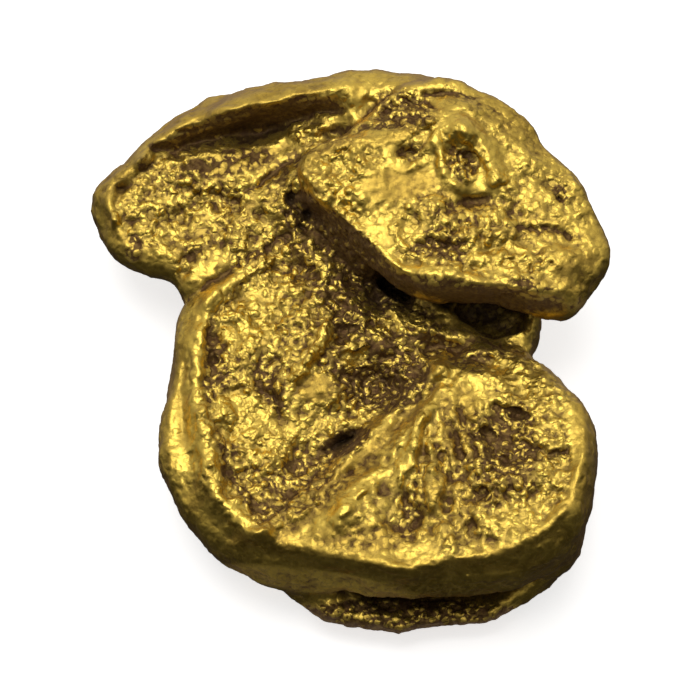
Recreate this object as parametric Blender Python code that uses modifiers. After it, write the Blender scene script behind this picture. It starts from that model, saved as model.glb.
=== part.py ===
"""Gold nugget: one natural piece of worn gold, made of leaves of metal folded over each other.

Points of the shape are given on a face plane that leans back from level: x runs to the right and w runs up
the plane, both in millimetres from the origin under the middle of the nugget. A leaf of metal is a
flattened sphere whose edge is an outline on that plane. The leaves are fused, seams are cut in from the
sides, and ridges, channels, hollows and lumps are raised or sunk square to the plane.
"""

import math

import bmesh
import bpy
import numpy as np
from mathutils import Vector, noise
from mathutils.bvhtree import BVHTree

MM = 0.001
LEAN = math.radians(65)  # Between the face plane's normal and level ground
NORMAL = Vector((0, -math.cos(LEAN), math.sin(LEAN)))
DOWN = Vector((0, 0, -1))

FUSE_VOXEL = 0.10
CUT_VOXEL = 0.085
SMOOTH_ROUNDS = 5
RELIEF_ROUNDS = 2
TRIANGLES = 9600
FOOT_LEVEL = 0.16  # The underside is cut off flat this far above the lowest lump of the sole

LEAF_RINGS = 48
LEAF_SEGMENTS = 120
EASE = 8  # Half degrees over which an outline's corners are eased

GOLD_COLOUR = (0.78, 0.53, 0.12, 1)
GOLD_ROUGHNESS = 0.38

# A leaf's edge lies at height rim + rise_x * x + rise_w * w. It bulges `above` and `below` that height.
LEAVES = {
    "sole": {
        "outline": (
            (-1.8, -5.1), (-1.2, -5.55), (-0.6, -6.0), (0.75, -6.15), (2.0, -6.15), (3.3, -6.0),
            (4.1, -5.65), (4.95, -5.2), (5.5, -4.55), (5.65, -3.75), (5.7, -2.5), (5.55, -1.25),
            (5.0, -0.3), (4.4, 0.6), (4.3, 1.4), (3.6, 2.6), (2.5, 3.6), (0.75, 4.2), (-1.25, 4.2),
            (-3.0, 3.3), (-3.6, 1.6), (-3.9, -0.25), (-3.8, -1.75), (-3.4, -3.1), (-2.6, -4.4),
        ),
        "rim": 0.6, "rise": (0.0, 0.0), "above": 0.6, "below": 0.75, "square": 2.7,
    },
    "lobe": {
        "outline": (
            (-4.0, 1.9), (-4.2, 0.9), (-4.45, 0.1), (-4.7, -0.75), (-4.85, -1.6), (-4.75, -2.35),
            (-4.45, -3.05), (-3.8, -3.85), (-3.3, -4.4), (-2.6, -4.85), (-1.5, -5.1), (-0.25, -5.2),
            (1.25, -5.3), (2.5, -5.3), (3.75, -5.15), (4.9, -4.9), (5.6, -4.6), (5.85, -3.9),
            (6.0, -3.1), (6.1, -1.9), (5.9, -1.15), (5.5, -0.52), (4.75, 0.0), (4.2, 0.6), (3.0, 1.25),
            (1.25, 1.75), (-0.25, 2.4), (-1.75, 3.2), (-3.0, 3.0),
        ),
        "rim": 1.35, "rise": (0.0, 0.0), "above": 1.1, "below": 1.1, "square": 4.6,
    },
    "flap": {
        "outline": (
            (-2.6, -4.1), (-1.7, -3.95), (-1.2, -3.6), (-0.65, -3.15), (-0.25, -2.7), (0.35, -2.1),
            (0.9, -1.7), (1.5, -1.2), (1.9, -0.75), (2.25, -0.25), (2.75, 0.3), (3.5, 0.75),
            (4.3, 0.35), (5.1, -0.15), (5.65, -0.7), (5.95, -1.5), (6.05, -2.4), (5.95, -3.3),
            (5.6, -4.2), (4.95, -4.75), (3.75, -5.0), (2.5, -5.15), (1.25, -5.2), (0.0, -5.1),
            (-1.25, -4.8), (-2.3, -4.5),
        ),
        "rim": 1.45, "rise": (0.09, -0.07), "above": 1.15, "below": 1.0, "square": 4.2,
    },
    "ear": {
        "outline": (
            (-4.15, 1.95), (-4.35, 2.3), (-4.75, 2.45), (-5.35, 2.65), (-5.85, 2.95), (-6.15, 3.3),
            (-6.35, 3.75), (-6.45, 4.25), (-6.4, 4.6), (-6.1, 4.95), (-5.65, 5.25), (-5.15, 5.75),
            (-4.75, 6.1), (-3.95, 6.45), (-3.0, 6.85), (-1.75, 7.1), (-0.5, 7.1), (0.4, 6.5), (0.6, 5.0),
            (0.0, 3.6), (-1.0, 2.4), (-2.9, 1.9),
        ),
        "rim": 1.9, "rise": (0.04, 0.0), "above": 0.7, "below": 0.65, "square": 4.0,
    },
    "crest": {  # The thick back rim, which runs from the ear into the shield
        "outline": (
            (-3.8, 6.35), (-3.0, 6.93), (-2.2, 7.27), (-1.4, 7.3), (-0.6, 7.35), (0.4, 7.55), (1.4, 7.5),
            (2.6, 7.3), (3.5, 7.0), (4.0, 6.3), (2.4, 5.8), (0.8, 5.8), (-0.5, 6.0), (-1.9, 6.2),
            (-3.2, 6.05),
        ),
        "rim": 2.5, "rise": (0.08, 0.0), "above": 0.75, "below": 1.1, "square": 2.6,
    },
    "shield": {
        "outline": (
            (1.4, 7.2), (2.1, 7.3), (2.75, 7.25), (3.35, 7.1), (3.92, 6.8), (4.5, 6.4),
            (4.85, 5.7), (5.35, 5.15), (5.78, 4.72), (6.07, 4.1), (6.32, 3.57), (6.5, 3.2), (6.5, 2.75),
            (6.25, 2.25), (5.9, 1.75), (5.55, 1.4), (4.9, 1.5), (3.75, 1.85), (2.6, 1.95),
            (1.9, 1.95), (1.2, 2.2), (0.6, 2.65), (0.0, 3.3), (-0.5, 3.9), (-1.1, 4.5),
            (-1.35, 5.0), (-1.25, 5.4), (-0.8, 5.75), (-0.1, 5.95), (0.6, 6.5),
        ),
        "rim": 3.1, "rise": (-0.05, 0.0), "above": 0.9, "below": 0.55, "square": 4.5,
    },
    "saddle": {  # Fills the fold between the ear, the lobe and the shield
        "outline": (
            (-1.5, 5.9), (-2.3, 5.0), (-2.4, 4.0), (-1.9, 3.2), (-1.0, 2.6), (0.0, 2.3), (0.9, 2.6),
            (1.6, 3.6), (1.6, 5.0), (0.4, 6.2),
        ),
        "rim": 2.1, "rise": (0.0, 0.0), "above": 0.75, "below": 0.9, "square": 2.4,
    },
    "prop": {  # The metal that carries the shield, set back under its front edge
        "outline": (
            (1.25, 2.5), (2.0, 1.75), (2.6, 1.4), (3.2, 1.45), (4.0, 1.65), (4.8, 1.75), (5.2, 2.6),
            (5.4, 4.2), (4.4, 5.6), (2.6, 6.6), (0.6, 6.6), (0.0, 5.0), (0.2, 3.4),
        ),
        "rim": 2.1, "rise": (0.0, 0.0), "above": 0.9, "below": 0.9, "square": 3.0,
    },
    "tab": {  # The round end of the lower leaf, seen in the notch between the shield and the flap
        "outline": (
            (3.0, 1.0), (4.0, 0.4), (4.4, 0.35), (4.55, 0.75), (4.65, 1.2), (4.6, 1.7), (4.3, 2.3),
            (3.2, 2.5), (2.6, 1.8),
        ),
        "rim": 1.4, "rise": (0.0, 0.0), "above": 0.9, "below": 0.9, "square": 2.6,
    },
}

# Flat gaps sunk in from the side. Each has its outline at the height of the gap.
SEAMS = {
    "front_slit": {
        "outline": (
            (-0.5, -5.6), (0.4, -6.3), (2.1, -6.5), (3.6, -6.1), (4.9, -5.3), (4.4, -4.5),
            (2.8, -4.4), (1.2, -4.45), (0.0, -4.8),
        ),
        "rim": 1.02, "rise": (0.03, 0.0), "above": 0.44, "below": 0.42, "square": 2.4,
    },
    "shield_gap": {
        "outline": (
            (0.15, 2.1), (0.45, 1.75), (1.1, 1.55), (1.9, 1.4), (2.9, 1.25), (4.2, 1.35), (4.9, 1.6),
            (4.6, 2.1), (3.2, 2.1), (1.9, 2.05), (1.2, 2.1), (0.6, 2.25),
        ),
        "rim": 2.5, "rise": (-0.02, 0.0), "above": 0.16, "below": 0.16, "square": 2.2,
    },
    "tab_pocket": {
        "outline": (
            (2.6, 1.55), (3.1, 1.25), (3.8, 1.05), (4.3, 1.05), (4.5, 1.4), (4.35, 1.9), (3.6, 2.05),
            (2.9, 1.95),
        ),
        "rim": 1.95, "rise": (0.0, 0.0), "above": 0.6, "below": 0.4, "square": 2.4,
    },
}

# Each point is x, w, height above the metal around it, and half width; a channel's heights are negative.
RIDGES = {
    "back_roll": (
        (-5.2, 5.45, 0.1, 0.35), (-4.8, 5.85, 0.3, 0.5), (-4.1, 6.4, 0.45, 0.65),
        (-3.1, 6.75, 0.45, 0.7), (-2.2, 7.0, 0.35, 0.6), (-1.1, 7.15, 0.25, 0.5),
        (-0.3, 7.25, 0.2, 0.5), (0.7, 7.3, 0.2, 0.5), (1.7, 7.25, 0.15, 0.5),
    ),
    "outer_rim": (
        (-3.4, 2.2, 0.08, 0.3), (-4.05, 1.2, 0.1, 0.35), (-4.4, -0.1, 0.12, 0.4),
        (-4.55, -1.4, 0.12, 0.45), (-4.3, -2.3, 0.1, 0.5),
    ),
    "inner_rim": (
        (-2.2, 2.8, 0.12, 0.35), (-2.95, 2.3, 0.18, 0.4), (-3.55, 1.8, 0.22, 0.4),
        (-3.8, 0.9, 0.25, 0.45), (-3.9, -0.1, 0.28, 0.5), (-3.65, -1.0, 0.3, 0.5),
        (-3.5, -2.0, 0.32, 0.55), (-3.4, -2.75, 0.35, 0.55), (-2.75, -3.5, 0.35, 0.55),
        (-2.2, -3.9, 0.25, 0.5),
    ),
    "front_rim": (
        (-2.55, -3.7, 0.15, 0.5), (-1.6, -4.15, 0.15, 0.5), (0.0, -4.45, 0.12, 0.5),
        (0.95, -4.65, 0.2, 0.35), (1.35, -4.8, 0.3, 0.3), (1.75, -4.65, 0.12, 0.3),
        (2.4, -4.5, 0.1, 0.45), (3.75, -4.35, 0.12, 0.5), (4.9, -3.9, 0.18, 0.5),
        (5.45, -3.3, 0.22, 0.45), (5.75, -2.5, 0.22, 0.4), (5.85, -1.5, 0.2, 0.4),
        (5.65, -0.7, 0.12, 0.4),
    ),
    "flap_edge": (
        (-2.6, -4.05, 0.15, 0.35), (-1.9, -3.65, 0.2, 0.35), (-1.2, -3.2, 0.22, 0.35),
        (-0.5, -2.5, 0.25, 0.35), (0.1, -1.85, 0.28, 0.35), (0.9, -1.1, 0.3, 0.35),
        (1.5, -0.45, 0.32, 0.35), (2.0, 0.05, 0.35, 0.35), (2.35, 0.3, 0.3, 0.35),
    ),
    "flap_band": ((1.9, -0.5, 0.12, 0.4), (1.5, -1.5, 0.2, 0.4), (1.3, -2.5, 0.12, 0.4)),
    "flap_trough": ((2.9, -0.4, -0.1, 0.35), (2.7, -1.2, -0.2, 0.4), (3.1, -2.3, -0.12, 0.4)),
    "flap_fan": ((2.0, -1.9, 0.08, 0.3), (2.15, -3.0, 0.14, 0.35), (2.5, -4.1, 0.08, 0.3)),
    "flap_ridge": ((-0.4, -3.8, 0.15, 0.6), (-0.05, -3.2, 0.2, 0.6), (0.3, -2.7, 0.1, 0.5)),
    "short_ridge": (
        (-0.55, 1.6, 0.15, 0.25), (-0.75, 0.9, 0.2, 0.25), (-1.1, 0.3, 0.2, 0.25),
        (-1.35, -0.1, 0.1, 0.2),
    ),
    "shield_lip": (
        (-1.25, 5.05, 0.25, 0.35), (-0.95, 4.6, 0.25, 0.35), (-0.1, 3.8, 0.25, 0.35),
        (0.4, 3.4, 0.2, 0.35), (0.9, 2.95, 0.2, 0.35), (1.4, 2.6, 0.2, 0.35),
        (2.25, 2.4, 0.25, 0.35), (3.25, 2.3, 0.25, 0.35), (4.25, 2.3, 0.2, 0.35),
        (5.5, 2.1, 0.1, 0.35),
    ),
    "pit_left": (
        (2.15, 6.35, 0.1, 0.35), (2.25, 5.6, 0.22, 0.3), (2.4, 5.05, 0.2, 0.28), (2.75, 4.75, 0.12, 0.28),
    ),
    "pit_right": (
        (2.7, 6.35, 0.15, 0.4), (3.2, 5.85, 0.22, 0.32), (3.6, 5.4, 0.2, 0.32), (3.6, 4.95, 0.15, 0.3),
    ),
    "ear_tip": (
        (-5.2, 5.55, 0.2, 0.25), (-5.8, 5.05, 0.2, 0.3), (-6.15, 4.4, 0.2, 0.3),
        (-5.9, 3.9, 0.2, 0.25),
    ),
    "ear_channel": (
        (-4.7, 5.6, -0.15, 0.35), (-3.75, 5.95, -0.3, 0.5), (-2.6, 6.2, -0.4, 0.55),
        (-1.4, 6.45, -0.4, 0.45), (-0.4, 6.65, -0.25, 0.4),
    ),
    "crease": (
        (-1.25, 5.65, -0.08, 0.2), (-2.1, 4.9, -0.08, 0.2), (-2.65, 4.6, -0.08, 0.2),
        (-3.0, 4.05, -0.15, 0.2), (-3.6, 3.4, -0.1, 0.2), (-4.05, 2.9, -0.15, 0.2),
        (-4.25, 2.25, -0.2, 0.25),
    ),
    "rim_groove": (
        (-3.1, 2.05, -0.05, 0.2), (-3.8, 1.5, -0.1, 0.2), (-4.0, 0.75, -0.1, 0.2),
        (-4.15, -0.25, -0.1, 0.2), (-4.15, -1.25, -0.1, 0.25), (-3.95, -2.1, -0.1, 0.25),
    ),
    "flap_trench": (
        (-2.1, -2.9, -0.08, 0.6), (-1.3, -2.4, -0.14, 0.7), (-0.75, -1.75, -0.22, 0.7),
        (-0.2, -1.2, -0.26, 0.7), (0.4, -0.6, -0.22, 0.7), (1.0, 0.1, -0.16, 0.6),
        (1.6, 0.6, -0.1, 0.5),
    ),
    "basin_line": ((-2.4, 0.05, -0.2, 0.2), (-2.1, -0.45, -0.2, 0.2), (-1.75, -1.0, -0.15, 0.2)),
    "under_shield": (
        (-1.4, 4.4, -0.2, 0.4), (-0.9, 3.7, -0.25, 0.4), (-0.3, 2.95, -0.3, 0.45),
        (0.35, 2.25, -0.35, 0.45), (0.8, 2.0, -0.4, 0.4),
    ),
    "rough_band": ((2.0, 0.75, -0.2, 0.4), (3.0, 0.55, -0.3, 0.35), (3.7, 0.3, -0.2, 0.3)),
    "top_hollow": (
        (0.0, 6.55, -0.15, 0.4), (0.9, 6.7, -0.25, 0.5), (1.9, 7.0, -0.2, 0.35),
        (2.75, 7.1, -0.1, 0.2), (3.25, 7.05, -0.1, 0.2),
    ),
}

# Ovals: x, w, half length, half width, degrees its length is turned, and height.
HOLLOWS = (
    (-1.6, 3.6, 1.5, 1.25, 150, -0.3), (-1.6, -1.25, 1.75, 2.5, 20, -0.2),
    (0.6, -0.1, 1.3, 0.85, 155, -0.35), (-0.05, -1.55, 0.7, 0.2, 25, -0.35),
    (2.8, 5.4, 0.4, 0.55, 20, -0.25), (1.45, 5.6, 0.45, 0.2, 0, -0.2),
    (3.0, 4.35, 0.95, 0.3, 0, -0.2), (2.25, 3.3, 0.75, 0.3, 170, -0.25),
    (1.4, -3.5, 0.55, 0.9, 170, -0.2), (-2.25, -2.6, 1.05, 0.8, 150, -0.15),
    (-1.45, -2.9, 0.5, 0.15, 15, -0.15), (-3.75, 4.25, 1.55, 1.1, 15, -0.2),
    (-5.75, 4.75, 0.25, 0.2, 0, -0.2), (-1.5, 4.5, 0.2, 0.15, 0, -0.25),
    (-1.05, 4.15, 0.2, 0.15, 0, -0.25), (5.2, 4.5, 0.2, 0.15, 0, -0.15),
    (4.25, 3.45, 0.35, 0.15, 0, -0.15), (5.4, 3.5, 0.35, 0.15, 0, -0.1),
    (-3.4, 0.4, 0.25, 0.3, 0, -0.15), (-2.0, 0.35, 0.3, 0.2, 0, -0.15),
    (-0.25, 1.1, 0.3, 0.35, 0, -0.3), (3.9, -1.5, 1.1, 0.9, 150, -0.15),
)
LUMPS = (
    (2.75, 6.2, 0.65, 0.5, -20, 0.35), (0.15, 0.8, 0.4, 0.2, 10, 0.25), (-2.8, 1.55, 0.3, 0.3, 0, 0.15),
    (-2.05, 1.3, 0.3, 0.25, 0, 0.15), (-1.35, 2.2, 0.3, 0.25, 0, 0.2), (-2.5, 0.7, 0.3, 0.2, 0, 0.15),
    (-3.1, -0.9, 0.5, 0.6, 0, 0.2), (-0.75, 5.0, 0.65, 0.5, 150, 0.1), (5.25, 3.0, 0.85, 1.0, 0, 0.1),
    (-5.2, 5.5, 0.25, 0.2, 0, 0.15), (-5.9, 3.95, 0.2, 0.15, 0, 0.15), (4.5, -0.1, 0.65, 0.35, 150, 0.1),
    (-0.25, 7.3, 0.65, 0.3, 0, 0.1),
)

# The underside's ridges, channels and ovals, on level ground: x, y and then as above, outwards as height.
UNDER_RIDGES = {
    "fold": (
        (-3.9, -3.4, -0.1, 0.3), (-2.6, -2.2, -0.3, 0.35), (-1.9, -0.6, -0.35, 0.4),
        (-2.2, 1.0, -0.3, 0.4), (-3.0, 2.2, -0.15, 0.35),
    ),
    "fold_lip": ((-1.9, -2.6, 0.1, 0.4), (-1.3, -0.6, 0.15, 0.4), (-1.6, 1.2, 0.1, 0.4)),
    "cross_crease": (
        (5.6, -0.6, -0.1, 0.3), (4.2, -0.3, -0.25, 0.3), (2.9, 0.4, -0.25, 0.3), (1.6, 0.6, -0.1, 0.3),
    ),
    "shield_rib": ((1.2, 5.6, 0.2, 0.6), (3.0, 5.0, 0.25, 0.7), (4.8, 3.6, 0.15, 0.6)),
    "ear_rib": ((-5.6, 3.4, 0.1, 0.5), (-4.2, 4.6, 0.25, 0.6), (-2.4, 5.6, 0.15, 0.6)),
}
UNDER_OVALS = (
    (-3.3, -0.6, 0.8, 1.3, 10, -0.25), (4.4, -2.9, 0.9, 1.4, 20, -0.35), (3.6, 2.0, 1.2, 0.8, 30, -0.3),
    (-0.4, 3.4, 1.5, 0.8, 10, -0.3), (0.6, -5.6, 1.8, 0.8, 0, -0.25), (-4.6, 4.9, 0.8, 0.6, 30, -0.2),
    (2.4, 5.9, 0.8, 0.5, 0, -0.2), (5.2, 3.8, 0.6, 0.8, 0, -0.15), (0.9, 1.9, 0.8, 0.6, 0, 0.15),
)

# Size of the lumps that wear has left all over, and how far they stand out: broad, then fine.
WEAR = ((2.4, 0.22), (0.9, 0.09), (0.4, 0.04))


def clear_scene():
    for obj in list(bpy.data.objects):
        bpy.data.objects.remove(obj, do_unlink=True)


def new_collection(name):
    collection = bpy.data.collections.new(name)
    bpy.context.scene.collection.children.link(collection)
    return collection


def face_point(x, w, height):
    """The point at this height that lies at x, w on the face plane, in millimetres."""
    return Vector((x, (w - height * math.cos(LEAN)) / math.sin(LEAN), height))


def edge_radius(outline, centre, angles):
    """The outline's distance from its centre at each angle, with its corners eased."""
    points = np.array(outline) - centre
    turn = np.arctan2(points[:, 1], points[:, 0])
    order = np.argsort(turn)
    reach = np.hypot(points[:, 0], points[:, 1])
    fine = np.linspace(-math.pi, math.pi, 720, endpoint=False)
    radii = np.interp(fine, turn[order], reach[order], period=2 * math.pi)
    window = np.hanning(2 * EASE + 1)
    padded = np.concatenate([radii[-EASE:], radii, radii[:EASE]])
    radii = np.convolve(padded, window / window.sum(), "valid")
    return np.interp(angles, fine, radii, period=2 * math.pi)


def superellipse(cosine, square):
    """A cosine's share of a rounded square's half width."""
    return math.copysign(abs(cosine) ** (2 / square), cosine)


def add_leaf(bm, leaf):
    """Add one flattened sphere whose widest line is the leaf's outline."""
    made = bmesh.ops.create_uvsphere(bm, u_segments=LEAF_SEGMENTS, v_segments=LEAF_RINGS, radius=1)
    centre = np.mean(leaf["outline"], axis=0)
    angles = np.array([math.atan2(v.co.y, v.co.x) for v in made["verts"]])
    reach = edge_radius(leaf["outline"], centre, angles)
    for vert, radius, angle in zip(made["verts"], reach, angles):
        level = max(-1.0, min(1.0, vert.co.z))
        out = superellipse(math.sqrt(1 - level * level), leaf["square"]) * radius
        x = centre[0] + out * math.cos(angle)
        w = centre[1] + out * math.sin(angle)
        bulge = superellipse(level, leaf["square"]) * (leaf["above"] if level > 0 else leaf["below"])
        rim = leaf["rim"] + leaf["rise"][0] * x + leaf["rise"][1] * w
        edge = face_point(x, w, rim)
        vert.co = (edge + Vector((0, 0, bulge))) * MM


def leaf_object(name, leaves, collection):
    bm = bmesh.new()
    for leaf in leaves:
        add_leaf(bm, leaf)
    mesh = bpy.data.meshes.new(name)
    bm.to_mesh(mesh)
    bm.free()
    obj = bpy.data.objects.new(name, mesh)
    collection.objects.link(obj)
    return obj


def add_remesh(obj, voxel):
    remesh = obj.modifiers.new("fuse", "REMESH")
    remesh.mode = "VOXEL"
    remesh.voxel_size = voxel * MM


def apply_modifiers(obj):
    graph = bpy.context.evaluated_depsgraph_get()
    mesh = bpy.data.meshes.new_from_object(obj.evaluated_get(graph))
    obj.modifiers.clear()
    obj.data = mesh


def keep_outer_skin(mesh):
    """Fill any sealed gap left between leaves, by dropping every skin but the largest."""
    bm = bmesh.new()
    bm.from_mesh(mesh)
    loose = set(bm.verts)
    skins = []
    while loose:
        skin = [loose.pop()]
        for vert in skin:
            for edge in vert.link_edges:
                other = edge.other_vert(vert)
                if other in loose:
                    loose.remove(other)
                    skin.append(other)
        skins.append(skin)
    skins.sort(key=len)
    for skin in skins[:-1]:
        bmesh.ops.delete(bm, geom=skin, context="VERTS")
    bm.to_mesh(mesh)
    bm.free()


def cut_seams(nugget, cutters):
    for name, seam in SEAMS.items():
        cutter = leaf_object(name, [seam], cutters)
        cutter.hide_render = True
        cutter.display_type = "WIRE"
        cut = nugget.modifiers.new(name, "BOOLEAN")
        cut.operation = "DIFFERENCE"
        cut.solver = "EXACT"
        cut.object = cutter


def points_of(mesh):
    points = np.empty(len(mesh.vertices) * 3)
    mesh.vertices.foreach_get("co", points)
    return points.reshape(-1, 3) / MM


def on_face(points):
    """x and w of each point on the face plane."""
    return points[:, 0], points[:, 1] * math.sin(LEAN) + points[:, 2] * math.cos(LEAN)


def on_ground(points):
    return points[:, 0], points[:, 1]


def bump(distance):
    """1 at no distance, falling smoothly to 0 at a distance of 1."""
    return np.clip(1 - distance * distance, 0, 1) ** 2


def ridge_height(x, w, ridge):
    """The height of a ridge or channel along its line, which takes the strongest of its stretches."""
    height = np.zeros(len(x))
    for (x0, w0, h0, r0), (x1, w1, h1, r1) in zip(ridge, ridge[1:]):
        along = ((x - x0) * (x1 - x0) + (w - w0) * (w1 - w0)) / ((x1 - x0) ** 2 + (w1 - w0) ** 2)
        along = np.clip(along, 0, 1)
        away = np.hypot(x - x0 - along * (x1 - x0), w - w0 - along * (w1 - w0))
        stretch = (h0 + along * (h1 - h0)) * bump(away / (r0 + along * (r1 - r0)))
        height = np.where(np.abs(stretch) > np.abs(height), stretch, height)
    return height


def oval_height(x, w, oval):
    x0, w0, length, width, turn, height = oval
    cos, sin = math.cos(math.radians(turn)), math.sin(math.radians(turn))
    along = (x - x0) * cos + (w - w0) * sin
    across = (w - w0) * cos - (x - x0) * sin
    return height * bump(np.hypot(along / length, across / width))


def facing(mesh, outward):
    """How far each vertex faces outward: 0 where it is turned away or other metal is in the way."""
    bm = bmesh.new()
    bm.from_mesh(mesh)
    tree = BVHTree.FromBMesh(bm)
    clear = 0.02 * MM
    shown = []
    for vert in bm.verts:
        lean = max(0.0, min(1.0, (vert.normal.dot(outward) - 0.35) / 0.4))
        covered = lean > 0 and tree.ray_cast(vert.co + vert.normal * clear, outward)[0] is not None
        shown.append(0.0 if covered else lean)
    bm.free()
    return np.array(shown)


def spread(mesh, values, rounds):
    """Even out values over the mesh: each round takes a vertex half way to the mean of its neighbours."""
    edges = np.empty(len(mesh.edges) * 2, np.int32)
    mesh.edges.foreach_get("vertices", edges)
    a, b = edges.reshape(-1, 2).T
    count = np.bincount(a, minlength=len(values)) + np.bincount(b, minlength=len(values))
    for _ in range(rounds):
        total = np.bincount(a, values[b], len(values)) + np.bincount(b, values[a], len(values))
        values = (values + total / count) / 2
    return values


def wear_height(points):
    """Broad and fine lumps over the whole surface."""
    height = np.zeros(len(points))
    for size, rise in WEAR:
        height += [rise * noise.noise(Vector(p) / size) for p in points]
    return height


def press_relief(mesh, outward, laid_on, ridges, ovals):
    """Raise the ridges and lumps and sink the channels and hollows of one side."""
    points = points_of(mesh)
    across, up = laid_on(points)
    height = np.zeros(len(points))
    for ridge in ridges.values():
        height += ridge_height(across, up, ridge)
    for oval in ovals:
        height += oval_height(across, up, oval)
    height = spread(mesh, height * spread(mesh, facing(mesh, outward), 4), RELIEF_ROUNDS)
    points += height[:, None] * np.array(outward)
    mesh.vertices.foreach_set("co", (points * MM).ravel())
    mesh.update()


def wear_surface(mesh):
    points = points_of(mesh)
    normals = np.empty(len(points) * 3)
    mesh.vertices.foreach_get("normal", normals)
    points += wear_height(points)[:, None] * normals.reshape(-1, 3)
    mesh.vertices.foreach_set("co", (points * MM).ravel())
    mesh.update()


def flatten_foot(mesh):
    """Cut the lowest lumps off level and stand the nugget on the cut."""
    bm = bmesh.new()
    bm.from_mesh(mesh)
    lowest = min(vert.co.z for vert in bm.verts)
    level = lowest + FOOT_LEVEL * MM
    everything = bm.verts[:] + bm.edges[:] + bm.faces[:]
    cut = bmesh.ops.bisect_plane(
        bm, geom=everything, dist=1e-8, plane_co=(0, 0, level), plane_no=(0, 0, -1), clear_outer=True
    )
    ring = [item for item in cut["geom_cut"] if isinstance(item, bmesh.types.BMEdge)]
    bmesh.ops.triangle_fill(bm, use_beauty=True, use_dissolve=False, edges=ring)
    bmesh.ops.recalc_face_normals(bm, faces=bm.faces)
    bmesh.ops.translate(bm, verts=bm.verts, vec=(0, 0, -level))
    bm.to_mesh(mesh)
    bm.free()


def gold_material():
    material = bpy.data.materials.new("gold")
    material.use_nodes = True
    shader = material.node_tree.nodes["Principled BSDF"]
    shader.inputs["Base Color"].default_value = GOLD_COLOUR
    shader.inputs["Metallic"].default_value = 1.0
    shader.inputs["Roughness"].default_value = GOLD_ROUGHNESS
    return material


def main():
    clear_scene()
    parts = new_collection("gold_nugget")
    cutters = new_collection("cutters")
    nugget = leaf_object("nugget", LEAVES.values(), parts)
    add_remesh(nugget, FUSE_VOXEL)
    apply_modifiers(nugget)
    keep_outer_skin(nugget.data)
    cut_seams(nugget, cutters)
    add_remesh(nugget, CUT_VOXEL)
    smooth = nugget.modifiers.new("smooth", "SMOOTH")
    smooth.iterations = SMOOTH_ROUNDS
    apply_modifiers(nugget)
    keep_outer_skin(nugget.data)
    press_relief(nugget.data, NORMAL, on_face, RIDGES, HOLLOWS + LUMPS)
    press_relief(nugget.data, DOWN, on_ground, UNDER_RIDGES, UNDER_OVALS)
    wear_surface(nugget.data)
    thin = nugget.modifiers.new("thin", "DECIMATE")
    thin.ratio = min(1.0, TRIANGLES / (2 * len(nugget.data.polygons)))
    apply_modifiers(nugget)
    flatten_foot(nugget.data)
    nugget.data.materials.append(gold_material())
    nugget.data.shade_smooth()


main()
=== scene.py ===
"""Gold nugget: the worn, pitted skin and the finish of one natural piece of gold, on a pale floor.

Points of the skin are given on a face plane that leans back from level: x runs to the right and w runs up
the plane, both in millimetres from the origin under the middle of the nugget. Lengths in the tables and in
the constants are in millimetres too.
"""

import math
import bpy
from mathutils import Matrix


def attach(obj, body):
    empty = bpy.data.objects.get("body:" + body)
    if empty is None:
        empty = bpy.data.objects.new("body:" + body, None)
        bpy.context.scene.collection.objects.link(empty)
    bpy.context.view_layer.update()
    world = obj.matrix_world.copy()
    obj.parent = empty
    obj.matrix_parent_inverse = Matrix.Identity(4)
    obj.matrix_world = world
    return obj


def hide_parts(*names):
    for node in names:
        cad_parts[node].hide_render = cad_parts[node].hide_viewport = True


bl_info = {
    "name": "Gold Nugget",
    "version": (1, 0, 0),
    "blender": (4, 5, 0),
    "location": "View3D > Sidebar > Nugget",
    "description": "Builds a worn gold nugget with a pitted skin, and a plain stage for it",
    "category": "Add Mesh",
}

import bmesh
import bpy
import numpy as np
from bpy.props import FloatProperty, FloatVectorProperty, IntProperty, PointerProperty
from mathutils import Vector, noise
from mathutils.bvhtree import BVHTree

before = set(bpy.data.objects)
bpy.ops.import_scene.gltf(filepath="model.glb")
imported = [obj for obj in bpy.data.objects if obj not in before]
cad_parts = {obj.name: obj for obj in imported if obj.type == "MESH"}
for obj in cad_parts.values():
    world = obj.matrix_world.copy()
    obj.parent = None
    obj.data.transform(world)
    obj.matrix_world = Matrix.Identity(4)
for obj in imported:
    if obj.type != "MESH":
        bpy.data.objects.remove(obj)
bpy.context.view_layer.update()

MM = 0.001
LEAN = math.radians(65)  # Between the face plane's normal and level ground
NORMAL = Vector((0, -math.cos(LEAN), math.sin(LEAN)))
UP_FACE = Vector((0, math.sin(LEAN), math.cos(LEAN)))

SKIN_SMOOTHING = 10
FOOT_MARGIN = 0.25  # Height over which the skin's grain dies away towards the flat foot

WOBBLE = 0.07  # How far noise bends the lines of the details
WOBBLE_SIZE = 0.3
UNEVEN_SHARE = 0.9  # How much noise varies the height of the details
UNEVEN_SIZE = 0.45
HIGHEST_DETAIL = 0.18
RIDGE_FLAT = 0.3  # The share of a ridge's half width that stays flat on top

BASE_ROUGHNESS = 0.3  # Outside all zones
WALL_ROUGHNESS = 0.2
RIDGE_ROUGHNESS = 0.5
# Painted highlight and polish along the bright ridges.
RIDGE_POLISH_AND_HIGHLIGHT = 0.85
RIDGE_DULLNESS = 0.7
# Stain and painted shade along the channels and cracks.
CHANNEL_SOIL_AND_SHADE = 0.6
ZONE_EDGE = (1.15, 0.75)  # How far out in its oval a zone starts, and where it is full

# Rays that measure how open each point of the skin is; the material paints shade where the skin is covered.
OPENNESS_RAYS = 40
OPENNESS_REACH = 1.2
CLEARANCE = 0.015  # A ray starts this far off the skin
CRUMB_RELIEF = 0.05  # The relief of crumbs, and of hollows, that spans their values from 0 to 1
HOLLOW_RELIEF = 0.4

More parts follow.
